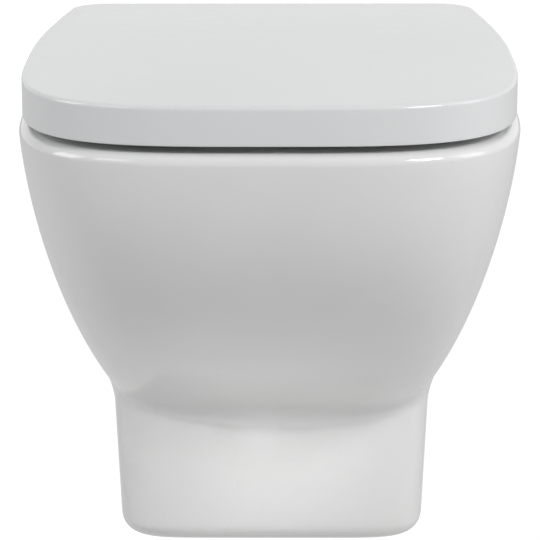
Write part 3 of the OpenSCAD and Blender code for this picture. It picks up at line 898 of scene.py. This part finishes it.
    def bores(self) -> list[Solid]:
        """Round holes and sockets.

        Returns:
            The cutters.
        """
        bore, _, level = self.inlet
        _, way, waste = self.outlet
        x, y, r = self.hinge
        top, behind = self.form.rim, 5
        tools = [rod("inlet_bore", bore, (0, self.socket[0], level), (0, behind, level), WIDE),
                 rod("duct_bore", self.duct, (0, self.duct_reach[0], level),
                     (0, self.duct_reach[1], level)),
                 rod("waste_bore", way, (0, self.spigot[0] - 1, waste), (0, behind, waste), WIDE)]
        for side in (-1, 1):
            tools.append(rod("hinge_hole", r, (side * x, y, top - self.deck - self.over),
                             (side * x, y, top + self.over)))
            tools.append(self.side_rod("cap_recess", self.cap_radius, side * self.cap_seat,
                                       side * self.outside))
            tools.append(self.side_rod("bush_hole", self.bush_radius, side * (self.arm - 4),
                                       side * (self.boss_end + 1)))
        return tools


# -------- the seat


@dataclass
class SeatForm:
    """Plan outline shared by the lid and the seat ring, in millimetres."""

    width: float = 360.0
    reach: float = 518.0
    back: float = -84.0
    back_width: float = 320.0
    corner: float = 30.0
    points: int = 181
    nose_steps: int = 240
    side_steps: int = 60
    corner_steps: int = 16

    def half(self) -> Line:
        """Half outline from the front's middle to the back's middle, evenly spaced.

        Returns:
            The half outline.
        """
        w, s = self.width / 2, NOSE * self.reach
        shoulder = s - self.reach
        line = []
        for i in range(self.nose_steps + 1):
            g = math.pi / 2 * (1 - math.cos(math.pi * i / self.nose_steps)) / 2
            line.append((w * math.sin(g) ** (2 / PLAN[0]),
                         shoulder - s * math.cos(g) ** (2 / PLAN[1])))
        line[-1] = (w, shoulder)
        end = self.back - self.corner

        def side(y: float) -> float:
            """Half width behind the shoulder."""
            share = (y - shoulder) / (self.back - shoulder)
            return w - (w - self.back_width / 2) * share ** TAPER

        line += [(side(y), y) for y in steps(shoulder, end, self.side_steps)[1:]]
        x = side(end)
        line += [(x - self.corner + self.corner * math.cos(a), end + self.corner * math.sin(a))
                 for a in steps(0.0, math.pi / 2, self.corner_steps)[1:]]
        line.append((0.0, self.back))
        return even(line, self.points)


@dataclass
class Hinge:
    """Where the hinges lie, in millimetres."""

    axis_y: float = -76.0
    axis_z: float = 102.5
    post_x: float = 77.5
    post_width: float = 12.0
    gap: float = 1.0
    knuckle: float = 6.5
    damper: float = 5.0
    lid_length: float = 26.0
    ring_length: float = 28.0

    @property
    def lid_x(self) -> float:
        """Inner end of the lid's knuckle."""
        return self.post_x - self.post_width / 2 - self.gap - self.lid_length

    @property
    def ring_x(self) -> float:
        """Inner end of the ring's knuckle."""
        return self.post_x + self.post_width / 2 + self.gap

    def bar(self, radius: float, x0: float, x1: float) -> Solid:
        """A round bar on the hinge axis."""
        return rod("bar", radius, (x0, self.axis_y, self.axis_z), (x1, self.axis_y, self.axis_z),
                   HINGE_SIDES)


@dataclass
class Lid:
    """The wrap-over lid: a shallow shell with a deep skirt and two knuckles."""

    form: SeatForm = field(default_factory=SeatForm)
    hinge: Hinge = field(default_factory=Hinge)
    top: float = 113.5
    low: float = 85.5
    wall: float = 4.0
    edge: float = 3.0
    roof_round: tuple[Flat, ...] = ((0.0, 3.0), (0.5, 1.5), (1.5, 0.5), (3.0, 0.0))
    hem: float = 0.8
    lug: float = 6.0
    cut_front: float = 52.0
    cut_low: float = -24.0
    cut_back: float = 76.0
    cut_round: float = 4.0
    lean: float = 17.0

    def build(self) -> None:
        """Moulds the lid."""
        half = self.form.half()
        rings = [whole(inset(half, edge_in(self.hem, z - self.low)), z)
                 for z in (self.low, self.low + self.hem * HEM, self.low + self.hem)]
        rings += [whole(half, z)
                  for z in steps(self.low + self.hem + 1, self.top - self.edge - 1, 3)]
        for a in range(0, 91, 10):
            z = self.top - self.edge * (1 - math.sin(math.radians(a)))
            rings.append(whole(inset(half, edge_in(self.edge, self.top - z)), z))
        lid = stack("lid_moulding", rings)
        paint(lid, [material_of(SEAT_PLASTIC)])
        w, roof = self.wall, self.top - self.wall
        inner = [(w, self.low - 2)] + [(w + by, roof - drop) for by, drop in self.roof_round]
        work(lid, stack("inside", [whole(inset(half, g), z) for g, z in inner]), Join.CUT)
        work(lid, self.skirt_cut(), Join.CUT)
        h = self.hinge
        for side in (-1, 1):
            x0, x1 = side * h.lid_x, side * (h.lid_x + h.lid_length)
            low, high = min(x0, x1), max(x0, x1)
            work(lid, block("web", (low, self.form.back - self.lug, h.axis_z - h.knuckle),
                            (high, h.axis_y, roof + 1)), Join.ADD)
            work(lid, h.bar(h.knuckle, x0, x1), Join.ADD)
            work(lid, h.bar(h.damper, x0 - side, x1 + side), Join.CUT)
        finish_piece(lid, Body.LID, "lid")

    def skirt_cut(self) -> Solid:
        """Cutter that ends the skirt in front of the hinges, drawn from the hinge axis.

        Returns:
            The cutter.
        """
        h, r, side = self.hinge, self.cut_round, 300.0
        top, low = self.top - self.wall - h.axis_z, self.cut_low
        start = self.lean - self.cut_front
        line = [(-self.cut_front, low), (start, top - r), (start + r, top), (self.cut_back, top),
                (self.cut_back, low)]
        rings = [[(x, h.axis_y + y, h.axis_z + z) for y, z in line] for x in (-side, side)]
        return stack("skirt_end", rings)


@dataclass
class SeatRing:
    """The seat ring: rounded at every edge, notched for the posts and dished to its hole."""

    form: SeatForm = field(default_factory=SeatForm)
    hinge: Hinge = field(default_factory=Hinge)
    low: float = 88.0
    top: float = 105.0
    gap: float = 6.2
    edge: float = 5.0
    hem: float = 1.0
    hole: Egg = Egg(111.0, -468.0, -186.0)
    hole_steps: int = 360
    hole_power: float = 0.8
    dish: float = 1.6
    dish_power: float = 1.2
    thinner: float = 0.5  # its knuckles than the lid's, its lugs than itself
    over: float = 5.0
    lug: float = 6.0
    notch_y: float = -92.43

    def hole_half(self, grow: float) -> Line:
        """Half outline of the hole, spaced as the ring's outer edge is.

        Args:
            grow: how far it is moved outwards.

        Returns:
            The half outline.
        """
        h = self.hole
        line = []
        for i in range(self.hole_steps + 1):
            g = math.pi * i / self.hole_steps
            reach = ((h.back - h.front) / 2 + grow) * signed_pow(math.cos(g), self.hole_power)
            line.append(((h.half_width + grow) * math.sin(g) ** self.hole_power,
                         (h.front + h.back) / 2 - reach))
        return even(line, self.form.points)

    def build(self) -> None:
        """Moulds the ring."""
        outer = inset(self.form.half(), self.gap)
        turn = [math.radians(a) for a in range(0, 91, 15)]
        rings = [whole(self.hole_half(self.hem), self.low)]
        rings += [whole(self.hole_half(self.hem * HEM), self.low + self.hem * HEM),
                  whole(self.hole_half(0.0), self.low + self.hem)]
        face = self.top - self.dish
        rings += [whole(self.hole_half(self.edge * (1 - math.cos(a))),
                        face - self.edge * (1 - math.sin(a))) for a in turn]
        inner_top, outer_top = self.hole_half(self.edge), inset(outer, self.edge)
        for u in steps(0.0, 1.0, 10)[1:-1]:
            z = face + self.dish * math.sin(math.pi / 2 * u) ** self.dish_power
            rings.append([(p[0] + (q[0] - p[0]) * u, p[1] + (q[1] - p[1]) * u, z)
                          for p, q in zip(whole(inner_top, z), whole(outer_top, z))])
        rings += [whole(inset(outer, self.edge * (1 - math.sin(a))),
                        self.top - self.edge * (1 - math.cos(a))) for a in turn]
        rings += [whole(outer, self.low + self.hem),
                  whole(inset(outer, self.hem * HEM), self.low + self.hem * HEM),
                  whole(inset(outer, self.hem), self.low)]
        rings.append(rings[0])
        ring = stack("ring_moulding", rings, closed=True)
        paint(ring, [material_of(SEAT_PLASTIC)])
        h = self.hinge
        for side in (-1, 1):
            xs = sorted((side * (h.lid_x - 2 * h.gap), side * h.ring_x))
            work(ring, block("notch", (xs[0], self.notch_y, self.low - self.over),
                             (xs[1], 0, self.top + self.over)), Join.CUT)
            x0, x1 = side * h.ring_x, side * (h.ring_x + h.ring_length)
            knuckle = h.knuckle - self.thinner
            work(ring, block("lug", (min(x0, x1), self.form.back - self.gap - self.lug,
                                     h.axis_z - knuckle),
                             (max(x0, x1), h.axis_y, self.top - self.thinner)), Join.ADD)
            work(ring, h.bar(knuckle, x0, x1), Join.ADD)
            work(ring, h.bar(h.damper, x0 - side, x1), Join.CUT)
        finish_piece(ring, Body.RING, "seat_ring")


# -------- small pieces


@dataclass
class CoverCaps:
    """Caps over the side screws, with a face that follows the body's side."""

    form: BodyForm = field(default_factory=BodyForm)
    radius: float = 12.8
    seat: float = 146.45
    y: float = -56.0
    proud: float = 0.5
    bore: float = 8.0
    bore_end: float = 151.75
    points: int = 64
    edge: tuple[Flat, ...] = ((0.0, 1.2), (0.25, 0.5), (0.9, 0.1))  # inset and drop
    face: Point = (0.75, 0.5, 0.25)  # rings on the face, as shares of the radius

    def build(self) -> None:
        """Turns both caps as one piece."""
        r, caps = self.radius, []
        for side in (-1, 1):
            rings = [self.ring(side, r, None)]
            rings += [self.ring(side, r - by, drop) for by, drop in self.edge]
            rings += [self.ring(side, r * share, 0.0) for share in self.face]
            cap = stack("cap", rings)
            paint(cap, [material_of(CAP_PLASTIC)])
            work(cap, rod("cap_bore", self.bore, (side * (self.seat - 1), self.y, 0),
                          (side * self.bore_end, self.y, 0)), Join.CUT)
            caps.append(cap)
        only(*caps)
        bpy.ops.object.join()
        caps[0].name = caps[0].data.name = "screw_caps"
        finish_piece(caps[0], Body.PAN, "cover_caps")

    def ring(self, side: int, radius: float, drop: float | None) -> Ring:
        """One ring of a cap.

        Args:
            side: -1 for the left cap, 1 for the right one.
            radius: the ring's radius.
            drop: how far it lies under the face, or None at the cap's seat.

        Returns:
            The ring.
        """
        result = []
        for g in angles(self.points):
            y, z = self.y + radius * math.cos(g), radius * math.sin(g)
            x = self.seat if drop is None else self.form.side(y, z) + self.proud - drop
            result.append((side * x, y, z))
        return result


@dataclass
class Fittings:
    """Finishes of the hinges, fixings and buffers."""

    finishes: dict[str, Finish] = field(default_factory=lambda: {
        "hinge_posts": CHROME, "hinge_bases": CHROME, "release_button_left": CHROME,
        "release_button_right": CHROME, "hinge_pins": STEEL, "hinge_studs": STEEL,
        "bush_washers": STEEL, "bush_nuts": STEEL, "wall_washers": STEEL, "wall_nuts": STEEL,
        "clamp_screws": STEEL, "clamp_nuts": STEEL, "wall_brackets": ZINC,
        "pin_caps": DARK_PLASTIC, "lid_dampers": DARK_PLASTIC, "ring_dampers": DARK_PLASTIC,
        "screw_bushes": DARK_PLASTIC, "deck_gaskets": RUBBER, "expansion_bushes": RUBBER,
        "lid_buffers": BUFFER, "seat_buffers": BUFFER})

    def dress(self) -> None:
        """Gives each solid its finish."""
        for name, finish in self.finishes.items():
            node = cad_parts[name]
            material = material_of(finish)
            if not node.material_slots:
                node.data.materials.append(material)
            for s in node.material_slots:
                s.material = material
            log.info("%s: %s", name, finish.name)


# -------- studio


def in_sight(tree: bpy.types.NodeTree, mirrored: float = 1.0) -> Socket:
    """One for the camera's rays, a share for rays once mirrored or bent, nothing for the others.

    Args:
        tree: the node tree that asks.
        mirrored: the share for mirrored and bent rays.

    Returns:
        The value.
    """
    path = tree.nodes.new("ShaderNodeLightPath").outputs
    bounced = combine(tree, "MAXIMUM", path["Is Glossy Ray"], path["Is Transmission Ray"])
    early = combine(tree, "LESS_THAN", path["Ray Depth"], ONE_BOUNCE)
    once = combine(tree, "MULTIPLY", combine(tree, "MULTIPLY", bounced, early), mirrored)
    return combine(tree, "MAXIMUM", path["Is Camera Ray"], once)


@dataclass(frozen=True)
class Lamp:
    """A soft lamp, in metres and watts: its place, the point that it faces and its face's size."""

    name: str
    place: Point
    aim: Point
    size: Flat
    power: float
    spread: float = 180.0

    def hang(self) -> None:
        """Hangs the lamp."""
        data = bpy.data.lights.new(self.name, "AREA")
        data.shape = "RECTANGLE"
        data.size, data.size_y = self.size
        data.energy, data.spread = self.power, math.radians(self.spread)
        lamp = bpy.data.objects.new(self.name, data)
        lamp.location = self.place
        facing = Vector(self.aim) - Vector(self.place)
        lamp.rotation_euler = facing.to_track_quat("-Z", "Y").to_euler()
        bpy.context.scene.collection.objects.link(lamp)


MIDDLE = (0.0, -0.3, -0.05)
LAMPS = (
    Lamp("right_softbox", (1.9, -0.7, 0.9), MIDDLE, (1.0, 1.2), 9.0),
    Lamp("left_softbox", (-1.9, -0.7, 0.9), MIDDLE, (1.0, 1.2), 12.0),
    Lamp("front_right_softbox", (1.5, -2.0, 1.5), MIDDLE, (0.9, 0.7), 28.5),
    Lamp("front_left_softbox", (-1.5, -2.0, 1.5), MIDDLE, (0.9, 0.7), 5.5),
    Lamp("plinth_lamp", (-0.01, -1.69, 0.3), (-0.01, -0.303, -0.188), (0.17, 0.03), 0.024, 8.0),
    Lamp("low_softbox", (0.0, -2.2, -0.05), (0.0, -0.3, -0.1), (1.6, 0.4), 1.1),
)


@dataclass
class Studio:
    """Pale floor, soft lamps and the camera, in metres."""

    floor_z: float = -1.1
    floor_size: float = 60.0
    paper: Point = (0.85, 0.85, 0.85)
    paper_rough: float = 0.9
    paper_white: Flat = (1.0, 1.15)
    white_from: Flat = (1.0, 2.0)
    white_share: float = 0.88
    white_mirrored: float = 0.55
    surround: float = 0.23
    lens: float = 189.27
    sensor: float = 36.0
    farthest: float = 200.0
    eye: Point = (0.0148, -2.4030, 0.4915)
    pitch: float = 14.63
    heading: float = 0.42
    roll: float = -0.10

    def floor(self) -> None:
        """Lays the floor: pale paper that the camera sees as white, more so away from the pan."""
        bpy.ops.object.select_all(action="DESELECT")
        bpy.ops.mesh.primitive_plane_add(size=self.floor_size, location=(0.0, 0.0, self.floor_z))
        floor = bpy.context.object
        floor.name = "studio_floor"
        n = Nodes("studio_paper")
        n.set(Base_Color=(*self.paper, 1.0), Roughness=self.paper_rough)
        away = n.tree.nodes.new("ShaderNodeVectorMath")
        away.operation = "LENGTH"
        n.tree.links.new(n.space, away.inputs[0])
        path = n.tree.nodes.new("ShaderNodeLightPath").outputs
        far = combine(n.tree, "MULTIPLY", away.outputs["Value"], path["Is Camera Ray"])
        glow = n.spread(far, *self.paper_white, *self.white_from)
        share = combine(n.tree, "MULTIPLY", in_sight(n.tree, self.white_mirrored), self.white_share)
        mix = n.tree.nodes.new("ShaderNodeMixShader")
        white = add_node(n.tree, "Emission", "Emission", Strength=glow)
        out = n.tree.nodes["Material Output"]
        for source, socket in ((share, mix.inputs[0]), (n.shader.outputs[0], mix.inputs[1]),
                               (white, mix.inputs[2]), (mix.outputs[0], out.inputs["Surface"])):
            n.tree.links.new(source, socket)
        floor.data.materials.append(n.material)

    def sky(self) -> None:
        """Sets an even grey surround that is white to the camera and in reflections."""
        world = bpy.data.worlds.new("studio_surround")
        bpy.context.scene.world = world
        world.use_nodes = True
        world.cycles.sampling_method = "NONE"
        tree = world.node_tree
        background = tree.nodes["Background"]
        background.inputs["Color"].default_value = (1.0, 1.0, 1.0, 1.0)
        strength = add_node(tree, "MapRange", "Result", Value=in_sight(tree), To_Min=self.surround,
                            To_Max=1.0)
        tree.links.new(strength, background.inputs["Strength"])

    def camera(self) -> None:
        """Sets the camera at the photograph's place."""
        data = bpy.data.cameras.new("front_camera")
        data.lens = self.lens
        data.sensor_width = self.sensor
        data.clip_end = self.farthest
        cam = bpy.data.objects.new("front_camera", data)
        turn = (Matrix.Rotation(math.radians(self.heading), 4, "Z")
                @ Matrix.Rotation(math.radians(90.0 - self.pitch), 4, "X")
                @ Matrix.Rotation(math.radians(self.roll), 4, "Z"))
        cam.matrix_world = Matrix.Translation(self.eye) @ turn
        bpy.context.scene.collection.objects.link(cam)
        bpy.context.scene.camera = cam

    def build(self) -> None:
        """Sets the whole studio up."""
        bpy.context.scene.view_settings.view_transform = "Standard"
        self.camera()
        self.floor()
        self.sky()
        for lamp in LAMPS:
            lamp.hang()
        log.info("studio: camera, floor, surround and lamps")


def main() -> None:
    """Builds the studio and every piece in order."""
    Studio().build()
    Pan().build()
    Lid().build()
    SeatRing().build()
    CoverCaps().build()
    Fittings().dress()


if __name__ == "__main__":
    main()
